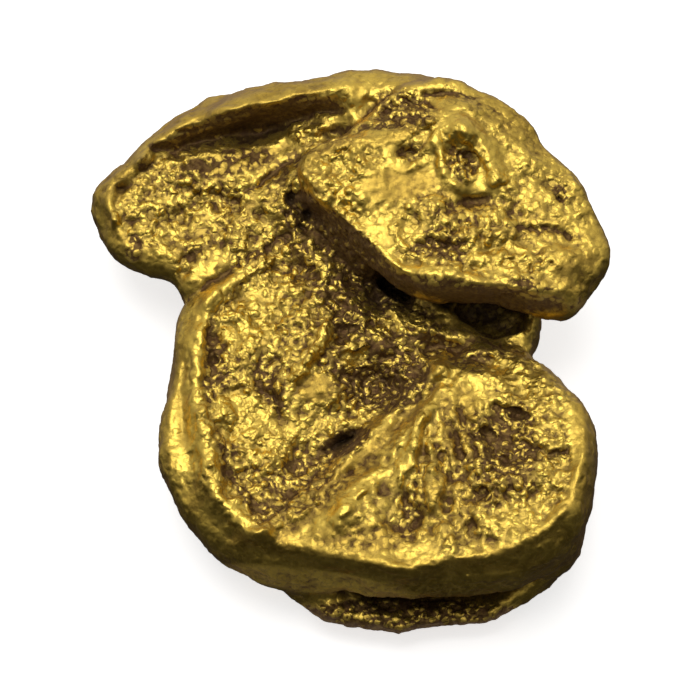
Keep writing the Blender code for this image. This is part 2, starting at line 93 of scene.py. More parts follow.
CAMERA_AIM = 0.75  # How far up the face plane the camera is aimed
SOFTBOX_PLACE = Vector((-0.03, 0.10, 0.30))  # In metres
ROOM_COLOUR = (1.0, 0.96, 0.9, 1.0)
ROOM_LIGHT_SIDE = (-0.1, 0.8, 0.59)  # Towards the middle of the room's lit side
ROOM_DARK_FROM = -0.35  # Cosines of the angles from there at which the room is dimmest and brightest
ROOM_LIT_FROM = 0.9

# Each point is x, w, height above the metal around it, and half width; a channel's heights are negative.
FINE_RIDGES = {
    "flap_edge": (
        (-2.75, -4.0, 0.04, 0.2), (-2.2, -3.7, 0.06, 0.2), (-1.35, -3.3, 0.08, 0.2),
        (-0.75, -2.9, 0.08, 0.2), (-0.1, -2.2, 0.08, 0.2), (1.05, -1.2, 0.08, 0.2),
        (1.9, -0.5, 0.1, 0.25), (2.25, 0.2, 0.12, 0.3),
    ),
    "inner_rim": (
        (-1.6, 3.2, 0.04, 0.15), (-2.0, 3.0, 0.06, 0.2), (-2.6, 2.7, 0.08, 0.2), (-3.2, 2.2, 0.1, 0.25),
        (-3.65, 1.65, 0.1, 0.3), (-3.85, 0.8, 0.1, 0.3), (-3.9, -0.2, 0.1, 0.3),
        (-3.75, -0.8, 0.1, 0.3), (-3.6, -1.3, 0.1, 0.3), (-3.45, -2.0, 0.12, 0.35),
        (-3.3, -2.6, 0.12, 0.35), (-2.95, -3.2, 0.12, 0.35), (-2.5, -3.65, 0.08, 0.25),
        (-1.95, -3.85, 0.04, 0.2),
    ),
    "outer_rim": (
        (-3.6, 2.1, 0.04, 0.15), (-4.1, 1.1, 0.05, 0.15), (-4.4, -0.3, 0.05, 0.15),
        (-4.6, -1.3, 0.05, 0.15), (-4.45, -2.1, 0.03, 0.15),
    ),
    "rim_foot": (
        (-2.75, 2.4, -0.05, 0.15), (-3.4, 1.55, -0.06, 0.2), (-3.5, 0.7, -0.08, 0.2),
        (-3.55, -0.1, -0.08, 0.2), (-3.25, -1.1, -0.06, 0.2), (-3.1, -2.0, -0.08, 0.2),
        (-2.85, -2.7, -0.08, 0.2), (-2.3, -3.2, -0.06, 0.2),
    ),
    "short_ridge": (
        (-0.6, 1.5, 0.05, 0.15), (-0.65, 1.0, 0.15, 0.25), (-1.0, 0.55, 0.15, 0.25),
        (-1.35, 0.1, 0.1, 0.2), (-1.55, -0.4, 0.04, 0.15),
    ),
    "shield_edge": (
        (-1.2, 5.0, 0.04, 0.15), (-0.8, 4.5, 0.08, 0.15), (-0.25, 3.75, 0.08, 0.15),
        (0.3, 3.15, 0.06, 0.15), (1.2, 2.75, 0.05, 0.2), (2.4, 2.7, 0.05, 0.2), (3.3, 2.45, 0.05, 0.2),
        (4.5, 2.1, 0.04, 0.2), (5.5, 2.0, 0.03, 0.2),
    ),
    "shield_brow": (
        (-1.2, 5.3, 0.04, 0.2), (-0.6, 5.75, 0.08, 0.2), (0.0, 5.95, 0.1, 0.2), (0.75, 5.95, 0.08, 0.2),
        (1.3, 6.1, 0.08, 0.2), (1.9, 6.45, 0.08, 0.2), (2.25, 6.7, 0.04, 0.2),
    ),
    "arc_lip": (
        (1.0, 5.35, 0.04, 0.15), (1.4, 5.25, 0.08, 0.15), (1.9, 5.5, 0.08, 0.15),
        (2.1, 6.0, 0.05, 0.15),
    ),
    "pit_left": (
        (2.15, 6.2, 0.05, 0.15), (2.25, 5.7, 0.07, 0.15), (2.3, 5.2, 0.07, 0.15),
        (2.6, 4.85, 0.05, 0.15),
    ),
    "pit_right": (
        (2.35, 6.35, 0.06, 0.15), (2.8, 6.0, 0.08, 0.15), (3.2, 5.6, 0.08, 0.15),
        (3.5, 5.25, 0.06, 0.15), (3.8, 5.0, 0.03, 0.15),
    ),
    "crest": (
        (-5.0, 5.75, 0.03, 0.15), (-4.6, 6.15, 0.06, 0.15), (-4.1, 6.45, 0.08, 0.15),
        (-3.4, 6.65, 0.1, 0.15), (-2.75, 6.8, 0.1, 0.15), (-2.15, 6.95, 0.1, 0.15),
        (-1.6, 7.05, 0.08, 0.15), (-0.6, 7.3, 0.04, 0.15),
    ),
    "channel": (
        (-4.9, 5.75, -0.08, 0.12), (-4.0, 5.95, -0.08, 0.15), (-3.0, 5.95, -0.08, 0.15),
        (-2.3, 6.1, -0.08, 0.15), (-1.6, 6.45, -0.1, 0.15), (-0.9, 6.7, -0.12, 0.15),
        (-0.2, 6.75, -0.08, 0.12),
    ),
    "crease": (
        (-1.3, 5.6, -0.04, 0.1), (-1.7, 5.3, -0.06, 0.1), (-2.3, 4.85, -0.06, 0.1),
        (-2.9, 4.45, -0.05, 0.1),
    ),
    "lobe_seam": (
        (-1.7, 3.55, -0.05, 0.12), (-2.6, 2.95, -0.07, 0.12), (-3.5, 2.4, -0.07, 0.15),
        (-4.0, 2.0, -0.05, 0.15),
    ),
    "ear_rim": (
        (-5.05, 5.55, 0.08, 0.15), (-5.5, 5.2, 0.06, 0.2), (-5.95, 4.75, 0.06, 0.2),
        (-6.1, 4.3, 0.06, 0.2), (-5.95, 3.85, 0.06, 0.2), (-5.6, 3.5, 0.03, 0.15),
    ),
    "flap_band": (
        (2.0, -0.5, 0.08, 0.3), (1.6, -1.2, 0.12, 0.3), (1.4, -2.0, 0.12, 0.3), (1.2, -2.6, 0.04, 0.25),
    ),
    "flap_spur": (
        (0.9, -2.2, 0.06, 0.2), (0.4, -2.5, 0.12, 0.25), (0.0, -2.9, 0.12, 0.25),
        (-0.3, -3.5, 0.06, 0.25),
    ),
    "front_lip": (
        (-1.75, -4.1, 0.03, 0.2), (-0.5, -4.3, 0.04, 0.2), (0.4, -4.45, 0.05, 0.2),
        (1.1, -4.65, 0.1, 0.2), (1.6, -4.8, 0.08, 0.15),
    ),
    "right_lip": (
        (2.25, -4.5, 0.02, 0.2), (3.25, -4.4, 0.03, 0.2), (4.25, -4.1, 0.04, 0.2),
        (4.95, -3.6, 0.05, 0.2), (5.4, -3.0, 0.06, 0.2), (5.75, -2.0, 0.08, 0.15),
        (5.9, -1.25, 0.08, 0.15), (5.8, -0.5, 0.06, 0.15), (5.5, 0.1, 0.03, 0.15),
    ),
    "front_round": (
        (-0.5, -4.75, -0.06, 0.35), (0.8, -5.0, -0.08, 0.35), (2.2, -4.95, -0.14, 0.45),
        (3.4, -4.75, -0.14, 0.45), (4.6, -4.3, -0.14, 0.45), (5.4, -3.6, -0.1, 0.4),
    ),
    "slot": ((3.6, -0.7, -0.08, 0.12), (4.1, -0.85, -0.16, 0.15), (4.5, -0.95, -0.08, 0.12)),
    "shield_dip": ((2.2, 4.15, -0.05, 0.2), (2.8, 4.35, -0.08, 0.25), (3.4, 4.5, -0.05, 0.2)),
    "shield_dint": ((1.6, 3.25, -0.08, 0.2), (2.2, 3.35, -0.12, 0.25), (2.8, 3.1, -0.08, 0.2)),
    "right_crack": (
        (4.2, 3.75, -0.03, 0.1), (4.9, 3.8, -0.06, 0.1), (5.3, 3.65, -0.05, 0.1),
        (5.7, 3.4, -0.02, 0.1),
    ),
    "top_crack": ((1.9, 7.1, -0.04, 0.1), (2.55, 7.15, -0.08, 0.1), (3.1, 7.0, -0.04, 0.1)),
    "brow_crack": ((-0.4, 6.25, -0.06, 0.15), (0.5, 6.3, -0.1, 0.15), (1.2, 6.4, -0.1, 0.15)),
}
BRIGHT_RIDGES = (
    "inner_rim", "short_ridge", "shield_edge", "arc_lip", "pit_left", "pit_right", "flap_band", "flap_spur",
)
OLIVE_RIDGES = ("flap_edge", "outer_rim", "crest", "ear_rim", "front_lip", "right_lip", "shield_brow")
CHANNELS = (
    "rim_foot", "channel", "crease", "lobe_seam", "slot", "shield_dip", "shield_dint", "right_crack",
    "top_crack", "brow_crack",
)

# Ovals: x, w, half length, half width, degrees its length is turned, and height.
FINE_OVALS = {
    "saddle_pits": (
        (-1.5, 4.45, 0.15, 0.15, 0, -0.2), (-1.0, 4.15, 0.2, 0.15, 0, -0.25),
        (-1.2, 3.8, 0.15, 0.12, 0, -0.2), (-1.6, 4.15, 0.12, 0.12, 0, -0.12),
    ),
    "black_pits": (
        (-0.25, 1.15, 0.3, 0.3, 0, 0.15), (-0.1, 1.6, 0.25, 0.1, 20, -0.1),
        (0.15, 1.25, 0.2, 0.1, 0, -0.1), (0.5, 1.45, 0.15, 0.1, 0, -0.1),
    ),
    "left_pit": ((-3.3, 0.1, 0.25, 0.4, 0, -0.08), (-3.05, 0.55, 0.3, 0.15, 20, -0.06)),
    "basin_pit": ((-2.1, 0.15, 0.2, 0.4, 30, -0.1), (-1.75, -0.5, 0.15, 0.35, 30, -0.1)),
    "wedge": ((-0.15, -1.5, 0.7, 0.2, 25, -0.3), (-0.6, -1.8, 0.3, 0.15, 10, -0.12)),
    "olive_patch": ((-0.9, -0.2, 0.4, 0.35, 0, 0.03),),
    "pale_beads": (
        (-0.2, 0.4, 0.15, 0.1, 20, 0.12), (0.1, 0.7, 0.2, 0.12, 30, 0.16),
        (0.4, 0.9, 0.15, 0.12, 20, 0.15), (0.4, 0.35, 0.2, 0.08, 0, 0.08),
    ),
    "orange_patch": ((-3.1, -0.8, 0.45, 0.4, 0, 0.04), (-2.3, -1.3, 0.55, 0.35, 20, 0.05)),
    "arc_hollow": ((1.5, 5.75, 0.4, 0.22, 10, -0.05),),
    "pit": ((2.8, 5.45, 0.5, 0.6, 20, 0.2),),
    "dome": (
        (2.85, 6.35, 0.55, 0.35, -20, 0.14), (3.0, 6.7, 0.75, 0.5, -15, 0.2),
        (2.7, 5.95, 0.5, 0.4, -20, 0.2),
    ),
    "bright_cluster": ((3.75, 5.0, 0.3, 0.2, 0, 0.06), (4.0, 4.8, 0.12, 0.1, 0, 0.08)),
    "crumble": ((3.6, 3.2, 0.5, 0.4, 0, 0.08), (4.2, 2.7, 0.3, 0.25, 0, 0.08)),
    "shield_pits": (
        (5.2, 4.5, 0.12, 0.2, 30, -0.15), (5.35, 4.75, 0.08, 0.1, 0, -0.08),
        (4.35, 5.0, 0.15, 0.1, 0, -0.06), (5.0, 2.9, 0.12, 0.08, 0, -0.08),
        (4.5, 5.4, 0.12, 0.08, 30, -0.06), (3.8, 6.3, 0.15, 0.1, 0, -0.06),
    ),
    "top_hollow": ((1.3, 6.65, 0.75, 0.4, -5, -0.15),),
    "window": (
        (0.1, 7.05, 0.55, 0.4, 0, 0.06), (0.1, 6.7, 0.6, 0.35, 0, 0.1),
        (0.2, 7.15, 0.12, 0.35, -8, -0.05),
    ),
    "apex": ((2.3, 0.2, 0.3, 0.3, 0, 0.12), (2.9, 0.5, 0.45, 0.25, -10, -0.2)),
    "flap_hollow": ((3.9, -1.5, 0.8, 0.7, 0, -0.1), (3.6, -0.6, 0.3, 0.2, 0, -0.08)),
    "flap_crumbs": (
        (4.7, 0.2, 0.2, 0.1, -20, 0.08), (4.9, -0.4, 0.25, 0.1, 20, 0.08),
        (5.1, -1.3, 0.25, 0.3, 0, 0.08), (4.7, -2.5, 0.25, 0.3, 0, 0.08),
        (3.6, -3.0, 0.15, 0.1, 0, 0.1),
    ),
    "right_pit": ((5.15, -1.8, 0.25, 0.12, 0, -0.15),),
    "brown_streaks": ((1.5, -3.4, 0.3, 0.6, -15, -0.03),),
    "ear_lumps": (
        (-5.85, 3.95, 0.15, 0.15, 0, 0.1), (-5.2, 5.45, 0.25, 0.2, 20, 0.28),
        (-3.3, 4.75, 0.12, 0.12, 0, 0.08), (-3.8, 4.8, 0.12, 0.12, 0, 0.08),
        (-4.6, 4.8, 0.1, 0.12, 0, 0.08), (-3.1, 3.6, 0.1, 0.1, 0, 0.08),
    ),
    "ear_fill": ((-5.7, 4.95, 0.25, 0.2, 0, 0.12),),
    "ear_notches": ((-4.8, 5.85, 0.25, 0.12, 20, -0.08), (-5.65, 4.75, 0.2, 0.1, 0, -0.05)),
    "crest_patch": ((-1.9, 6.95, 0.3, 0.12, 12, 0.06),),
}

# Strands of metal, in oval zones as above, with the degrees they run, their length, spacing and height.
STREAKS = {
    "fibres": (0.8, 0.1, 1.4, 0.9, -20, 5, 0.5, 0.14, 0.1),
    "crest": (-3.1, 6.3, 2.0, 0.4, 14, 14, 1.2, 0.12, 0.04),
    "brown_streaks": (1.5, -3.4, 0.5, 0.9, -15, 75, 0.8, 0.16, 0.1),
}
# Strands that spread from one point, with their spacing in degrees.
FAN_CENTRE = (2.2, 0.5)
FAN = (2.4, -2.5, 2.1, 1.9, 0, 0.9, 7.0, 0.2)

# Ovals as above, with a value from 0 to 1 last. Each blends its value in over the ones before it.
# Rough skin is 1 and skin that is worn smooth is 0.
ROUGHNESS_ZONES = {
    "ear_basin": (-4.1, 4.4, 1.9, 1.25, 15, 1),
    "ear_foot": (-3.4, 3.25, 1.5, 0.9, -25, 0.9),
    "saddle": (-1.6, 4.1, 1.25, 1.1, 40, 1),
    "saddle_foot": (-0.6, 3.5, 1.5, 1.25, -50, 1),
    "lobe_basin": (-2.0, 1.5, 1.9, 2.1, 0, 1),
    "fibrous_hollow": (0.6, 0.9, 1.9, 1.75, -30, 1),
    "low_basin": (-2.25, -1.5, 2.1, 1.9, -40, 1),
    "trench": (-0.9, -1.1, 1.5, 1.5, 0, 1),
    "basin_corner": (-1.25, -2.75, 1.5, 0.6, 35, 0.9),
    "orange_patch": (-2.6, -1.0, 0.8, 0.6, -30, 0.85),
    "ear_brow": (-2.9, 5.4, 1.2, 0.4, 10, 0.5),
    "crease_bank": (-1.8, 5.1, 0.8, 0.3, 40, 0.4),
    "crest_foot": (-0.95, 6.2, 0.55, 0.4, 10, 0.9),
    "crest": (-2.75, 7.0, 2.5, 0.3, 18, 0.1),
    "ear_tip": (-5.9, 4.9, 0.35, 0.95, -25, 0.15),
    "crest_wall": (-3.1, 6.35, 2.25, 0.35, 14, 0.1),
    "lobe_shoulder": (-3.6, 2.25, 0.55, 1.1, -30, 0.25),
    "shield_worms": (-0.1, 5.3, 1.1, 0.95, -10, 0.85),
    "top_hollow": (1.3, 6.7, 1.0, 0.6, -5, 1),
    "window": (0.1, 7.1, 0.6, 0.5, 0, 0.5),
    "window_pane": (0.2, 7.15, 0.2, 0.35, 0, 0.1),
    "shield_smooth": (1.1, 4.9, 1.0, 0.45, 5, 0.2),
    "dome": (2.8, 6.25, 0.7, 0.45, -20, 0.5),
    "dome_back": (2.7, 6.8, 0.8, 0.15, -10, 0.2),
    "pit": (2.8, 5.4, 0.45, 0.5, 20, 1),
    "arc_hollow": (1.55, 5.7, 0.45, 0.3, 10, 0.9),
    "shield_hollow": (2.2, 3.6, 1.5, 1.0, -15, 1),
    "shield_crumble": (3.75, 3.4, 1.4, 1.3, 0, 1),
    "shield_right": (4.9, 4.5, 1.25, 1.5, -50, 0.75),
    "shield_dip": (3.05, 4.35, 0.8, 0.25, 20, 0.3),
    "shield_corner": (5.6, 3.2, 0.6, 1.4, 20, 0.5),
    "shield_back": (4.2, 6.2, 1.5, 0.55, -35, 0.6),
    "bright_cluster": (3.75, 5.0, 0.45, 0.3, 0, 0.8),
    "shield_ledge": (2.8, 2.55, 1.5, 0.2, -10, 0.2),
    "left_band": (-4.2, -0.4, 0.4, 1.9, 0, 0.35),
    "left_shoulder": (-4.1, -1.9, 0.55, 1.0, -15, 0.35),
    "left_corner": (-3.1, -3.4, 1.1, 0.45, -42, 0.35),
    "upper_band": (-3.85, 1.25, 0.25, 1.1, 15, 0.3),
    "olive_patch": (-0.85, -0.2, 0.4, 0.4, 0, 0.55),
    "flap_top": (4.4, -0.1, 1.25, 0.9, -30, 0.9),
    "flap_hollow": (3.8, -1.9, 1.4, 1.5, -10, 1),
    "flap_trough": (2.6, -0.8, 0.5, 0.9, -10, 0.45),
    "flap_right": (5.0, -1.9, 0.5, 1.4, 0, 1),
    "flap_foot": (4.0, -3.4, 1.1, 0.6, 15, 0.8),
    "flap_middle": (2.3, -2.9, 0.9, 1.5, 10, 0.65),
    "flap_band": (1.5, -1.6, 0.35, 1.2, -18, 0.6),
    "flap_left": (0.2, -3.4, 0.9, 0.8, 40, 0.55),
    "flap_corner": (-0.8, -3.6, 1.4, 0.35, 35, 0.3),
    "brown_streaks": (1.4, -3.4, 0.5, 0.8, -10, 0.6),
    "flap_edge": (0.4, -1.75, 1.6, 0.12, 42, 0.15),
    "right_band": (5.8, -1.75, 0.25, 1.6, -3, 0.2),
    "front_edge": (2.0, -4.65, 3.75, 0.3, 0, 0.2),
    "right_corner": (5.2, -3.5, 0.75, 0.35, 50, 0.2),
    "apex": (2.3, 0.2, 0.4, 0.3, 0, 0.5),
    "lower_lip": (1.4, -5.9, 3.5, 0.5, 0, 0.9),
}
# Brown stain in the pits and folds, and painted shade under the overhangs, along the slit and in crevices.
SOIL_AND_SHADE_ZONES = {
    "flap": (2.4, -2.5, 2.7, 1.9, 0, 0.25),
    "flap_bank": (-0.4, -2.75, 1.8, 0.25, 42, 0.3),
    "flap_corner": (0.3, -3.9, 1.4, 0.4, 0, 0.3),
    "crest_wall": (-2.9, 6.3, 2.0, 0.45, 14, 0.6),
    "crest_end": (-0.9, 6.85, 0.9, 0.3, 0, 0.8),
    "ear_brow": (-3.0, 5.45, 1.2, 0.35, 10, 0.9),
    "crease_bank": (-1.75, 5.2, 0.8, 0.3, 45, 0.7),
    "ear_notch": (-4.8, 5.85, 0.3, 0.15, 20, 0.9),
    "ear_nub": (-5.15, 5.4, 0.25, 0.2, 20, 0.7),
    "tip_notch": (-5.65, 4.75, 0.25, 0.1, 0, 0.5),
    "ear_heel": (-5.4, 3.3, 0.25, 0.35, 0, 0.8),
    "saddle_foot": (-0.5, 3.25, 1.25, 0.9, -45, 0.5),
    "saddle_pits": (-1.25, 4.2, 0.5, 0.5, 0, 0.9),
    "shield_foot": (0.0, 2.25, 1.1, 0.75, -30, 0.6),
    "ear_foot": (-3.2, 3.1, 1.2, 0.4, -15, 0.35),
    "fibrous_hollow": (0.8, 0.2, 1.4, 1.0, -20, 0.65),
    "black_pits": (0.0, 1.45, 0.45, 0.4, 0, 1),
    "pale_beads": (0.15, 0.65, 0.4, 0.25, 35, 0),
    "left_pit": (-3.3, 0.25, 0.35, 0.6, 0, 0.8),
    "basin_pit": (-2.0, -0.15, 0.3, 0.75, 30, 0.75),
    "wedge": (-0.15, -1.55, 0.75, 0.3, 25, 1),
    "low_corner": (-1.4, -2.6, 1.2, 0.6, 30, 0.4),
    "rim_shade": (-3.0, -2.0, 0.15, 0.8, -20, 0.6),
    "notch_band": (2.6, 0.95, 1.3, 0.4, -10, 0.75),
    "top_hollow": (1.4, 6.7, 0.8, 0.45, -5, 0.5),
    "top_crack": (2.55, 7.1, 0.6, 0.12, -10, 0.9),
    "arc_hollow": (1.5, 5.7, 0.4, 0.22, 10, 0.4),
    "pit": (2.8, 5.4, 0.35, 0.45, 20, 0.4),
    "shield_dip": (3.05, 4.3, 0.8, 0.22, 20, 0.6),
    "shield_dint": (2.3, 3.4, 0.6, 0.4, -10, 0.6),
    "shield_back": (3.0, 6.85, 0.9, 0.15, -15, 0.4),
    "right_crack": (5.0, 3.7, 0.9, 0.15, -10, 0.5),
    "right_pit": (5.25, 4.6, 0.2, 0.3, 30, 0.8),
    "shield_front": (3.4, 2.25, 2.3, 0.45, -8, 1),
    "shield_side": (0.3, 3.1, 1.7, 0.4, -42, 1),
    "apex_hollow": (2.9, 0.45, 0.5, 0.3, -10, 0.9),
    "flap_slot": (4.1, -0.85, 0.55, 0.15, -12, 1),
    "flap_hollow": (3.8, -1.6, 0.8, 0.9, 0, 0.55),
    "flap_trough": (2.6, -1.0, 0.3, 0.6, 10, 0.5),
    "low_right_pit": (5.15, -1.8, 0.25, 0.12, 0, 0.8),
    "brown_spot": (1.0, -2.7, 0.3, 0.25, 0, 0.6),
    "brown_streaks": (1.5, -3.4, 0.35, 0.6, -15, 0.55),
    "ear_tip": (-5.85, 5.0, 0.3, 0.7, -25, 0.3),
    "lower_lip": (1.4, -6.0, 3.5, 0.55, 0, 1),
    "front_wall": (-0.8, -5.0, 2.4, 0.3, -8, 0.2),
}
# Warm, bright gold: partly polish, partly painted highlight where the skin should look lit.
POLISH_AND_HIGHLIGHT_ZONES = {
    "shield_worms": (-0.2, 5.35, 0.9, 0.75, 0, 0.7),
    "shield_lip": (0.05, 4.2, 1.0, 0.25, -48, 0.9),
    "lip_patch": (1.2, 3.8, 0.5, 0.6, 0, 0.8),
    "crumble": (3.75, 3.0, 0.9, 0.6, 0, 0.8),
    "shield_ledge": (2.8, 2.65, 0.6, 0.15, -15, 0.9),
    "window": (0.1, 7.1, 0.55, 0.45, 0, 0.9),
    "dome": (2.8, 6.25, 0.6, 0.4, -20, 1),
    "bright_cluster": (3.75, 5.0, 0.45, 0.3, 0, 0.9),
    "lobe_top": (-2.6, 1.6, 0.9, 0.8, 0, 0.7),
    "orange_patch": (-2.7, -0.95, 0.9, 0.75, -20, 1),
    "orange_foot": (-2.0, -1.6, 0.9, 0.4, 20, 0.7),
    "short_ridge": (-0.85, 0.8, 0.2, 0.8, -25, 0.9),
    "pale_beads": (0.1, 0.65, 0.4, 0.3, 35, 0.9),
    "left_band": (-4.1, -1.1, 0.4, 1.5, 0, 0.8),
    "left_corner": (-3.05, -2.85, 0.9, 0.3, -60, 0.9),
    "flap_band": (1.55, -1.5, 0.3, 1.2, -18, 0.9),
    "flap_spur": (0.25, -2.75, 0.9, 0.25, 42, 0.9),
    "flap_left": (-0.3, -3.6, 0.5, 0.25, 20, 0.7),
    "flap_top": (4.2, 0.0, 0.9, 0.4, -20, 0.8),
    "apex": (2.3, 0.2, 0.35, 0.3, 0, 1),
    "flap_right": (5.0, -2.3, 0.35, 0.9, -10, 0.5),
    "flap_foot": (4.0, -3.4, 0.9, 0.4, 15, 0.6),
    "hook": (1.4, -4.7, 0.4, 0.12, -20, 1),
    "ear_dot": (-5.85, 3.9, 0.2, 0.2, 0, 1),
    "ear_nub": (-5.2, 5.5, 0.2, 0.15, 0, 0.5),
    "crest_patch": (-1.85, 7.0, 0.35, 0.12, 10, 1),
}
# Dull gold, worn to an even sheen.
DULL_ZONES = {
    "shield_smooth": (1.15, 4.9, 0.9, 0.45, 5, 0.9),
    "window_pane": (0.2, 7.2, 0.2, 0.3, 0, 0.8),
    "shield_back": (4.2, 6.3, 1.4, 0.4, -35, 0.5),
    "shield_corner": (5.5, 3.0, 0.6, 1.2, 20, 0.5),
    "olive_patch": (-0.85, -0.2, 0.45, 0.4, 0, 1),
    "crest": (-3.0, 6.95, 2.3, 0.25, 18, 0.5),
    "ear_tip": (-5.8, 4.9, 0.35, 0.8, -25, 0.5),
    "ear_brow": (-2.9, 5.5, 1.2, 0.35, 10, 0.6),
    "left_groove": (-4.15, -0.4, 0.15, 1.4, 0, 0.6),
    "flap_trough": (2.7, -0.9, 0.5, 0.9, -10, 0.7),
    "flap_edge": (0.1, -2.0, 2.0, 0.12, 42, 0.8),
    "right_band": (5.75, -1.75, 0.25, 1.6, 0, 0.7),
    "front_edge": (2.0, -4.6, 3.5, 0.2, 0, 0.5),
    "flap_bank": (-0.4, -2.75, 1.8, 0.25, 42, 0.9),
    "flap_corner": (0.3, -3.9, 1.4, 0.4, 0, 0.8),
    "flap_middle": (2.3, -3.2, 0.8, 1.0, 0, 0.5),
}


class NuggetSettings(bpy.types.PropertyGroup):
    """Sizes and colours of the nugget's skin"""

    skin_step: FloatProperty(
        name="Skin Step", description="Spacing of the points that the skin is rebuilt from",
        default=0.045 * MM, min=0.03 * MM, precision=6, subtype="DISTANCE", unit="LENGTH",
    )
    triangles: IntProperty(
        name="Triangles", description="How many triangles the finished skin keeps",
        default=195000, min=20000, max=199000,
    )
    bead_size: FloatProperty(
        name="Bead Size", description="Width of the rounded beads of gold in the rough hollows",
        default=0.20 * MM, min=0.05 * MM, precision=6, subtype="DISTANCE", unit="LENGTH",
    )
    bead_height: FloatProperty(
        name="Bead Height", description="How far the beads stand out",
        default=0.08 * MM, min=0.0, precision=6, subtype="DISTANCE", unit="LENGTH",
    )
    lump_height: FloatProperty(
        name="Lump Height", description="How far the broader lumps of the rough hollows stand out",
        default=0.16 * MM, min=0.0, precision=6, subtype="DISTANCE", unit="LENGTH",
    )
    pore_size: FloatProperty(
        name="Pore Size", description="Width of the pores in the worn rims",
        default=0.16 * MM, min=0.05 * MM, precision=6, subtype="DISTANCE", unit="LENGTH",
    )
    pore_depth: FloatProperty(
        name="Pore Depth", description="How deep the pores are",
        default=0.02 * MM, min=0.0, precision=6, subtype="DISTANCE", unit="LENGTH",
    )
    # Bright gold is partly a painted highlight: its pale lemon tint is the tint of brightly lit metal, and
    # it goes on crumb tops, light bead cells and the bright zones.
    bright_gold: FloatVectorProperty(
        name="Bright Gold", description="Colour of the polished ridges and beads",
        default=(0.93, 0.66, 0.12), min=0.0, max=1.0, subtype="COLOR",
    )
    olive_gold: FloatVectorProperty(
        name="Olive Gold", description="Colour of the dull, smoothly worn skin",
        default=(0.60, 0.40, 0.07), min=0.0, max=1.0, subtype="COLOR",
    )
    # Partly tarnish, partly painted shade: walls that face away from the face plane are mixed towards this
    # colour.
    wall_tarnish_and_shade: FloatVectorProperty(
        name="Tarnish", description="Colour of the duller, browner walls",
        default=(0.48, 0.28, 0.11), min=0.0, max=1.0, subtype="COLOR",
    )
    # Partly brown stain, partly painted shade: the material mixes towards this colour in pits and folds,
    # under overhangs and where the skin is covered.
    soil_and_shade: FloatVectorProperty(
        name="Soil", description="Colour of the brown stain in pits and folds",
        default=(0.11, 0.054, 0.018), min=0.0, max=1.0, subtype="COLOR",
    )
    # Painted shade: the material mixes towards this near-black where other metal covers the skin, as the
    # shade that falls there.
    pit_shade: FloatVectorProperty(
        name="Pit Shade", description="Colour of the black dirt at the bottom of the deepest pits",
        default=(0.025, 0.015, 0.008), min=0.0, max=1.0, subtype="COLOR",
    )


class StageSettings(bpy.types.PropertyGroup):
    """The floor, the lights and the camera"""

    floor_colour: FloatVectorProperty(
        name="Floor", description="Colour of the plain floor",
        default=(0.93, 0.93, 0.93), min=0.0, max=1.0, subtype="COLOR",
    )
    floor_glow: FloatProperty(
        name="Floor Glow", description="Light that the floor gives off, as a lit tabletop does",
        default=0.75, min=0.0, max=1.0, subtype="FACTOR",
    )
    floor_size: FloatProperty(
        name="Floor Size", description="Width of the floor", default=1.0, min=0.1,
        subtype="DISTANCE", unit="LENGTH",
    )
    softbox_size: FloatProperty(
        name="Softbox Size", description="Width of the overhead softbox", default=0.26, min=0.01,
        subtype="DISTANCE", unit="LENGTH",
    )
    softbox_brightness: FloatProperty(
        name="Softbox Brightness", description="Radiance of the overhead softbox", default=1.95, min=0.0,
    )
    room_brightness: FloatProperty(
        name="Room Brightness", description="Radiance of the room's lit ceiling and back wall",
        default=0.58, min=0.0,
    )
    room_shade: FloatProperty(
        name="Room Shade", description="Radiance of the room's dim front", default=0.03, min=0.0,
    )
    camera_distance: FloatProperty(
        name="Camera Distance", description="From the camera to the middle of the nugget", default=0.5,
        min=0.05, subtype="DISTANCE", unit="LENGTH",
    )
    view_width: FloatProperty(
        name="View Width", description="Width of what the camera sees at the nugget", default=17.5 * MM,
        min=MM, precision=5, subtype="DISTANCE", unit="LENGTH",
    )


def points_of(mesh):
    points = np.empty(len(mesh.vertices) * 3)
    mesh.vertices.foreach_get("co", points)
    return points.reshape(-1, 3) / MM


def normals_of(mesh):
    normals = np.empty(len(mesh.vertices) * 3)
    mesh.vertices.foreach_get("normal", normals)
    return normals.reshape(-1, 3)


def move_points(mesh, points):
    mesh.vertices.foreach_set("co", (points * MM).ravel())
    mesh.update()


def on_face(points):
    """x and w of each point on the face plane."""
    return points[:, 0], points[:, 1] * math.sin(LEAN) + points[:, 2] * math.cos(LEAN)


def bump(distance):
    """1 at no distance, falling smoothly to 0 at a distance of 1."""
    return np.clip(1 - distance * distance, 0, 1) ** 2


def smooth_step(low, high, values):
    """0 below low, 1 above high, and an even curve between."""
    share = np.clip((values - low) / (high - low), 0, 1)
    return share * share * (3 - 2 * share)


def ridge_height(x, w, ridge):
    """The height of a ridge or channel along its line, which takes the strongest of its stretches."""
    height = np.zeros(len(x))
    for (x0, w0, h0, r0), (x1, w1, h1, r1) in zip(ridge, ridge[1:]):
        along = ((x - x0) * (x1 - x0) + (w - w0) * (w1 - w0)) / ((x1 - x0) ** 2 + (w1 - w0) ** 2)
        along = np.clip(along, 0, 1)
        away = np.hypot(x - x0 - along * (x1 - x0), w - w0 - along * (w1 - w0))
        stretch = (h0 + along * (h1 - h0)) * smooth_step(1.0, RIDGE_FLAT, away / (r0 + along * (r1 - r0)))
        height = np.where(np.abs(stretch) > np.abs(height), stretch, height)
    return height


def oval_distance(x, w, oval):
    """How far out each point lies in an oval: 0 at its middle and 1 at its edge."""
    x0, w0, length, width, turn = oval[:5]
    cos, sin = math.cos(math.radians(turn)), math.sin(math.radians(turn))
    along = (x - x0) * cos + (w - w0) * sin
    across = (w - w0) * cos - (x - x0) * sin
    return np.hypot(along / length, across / width)


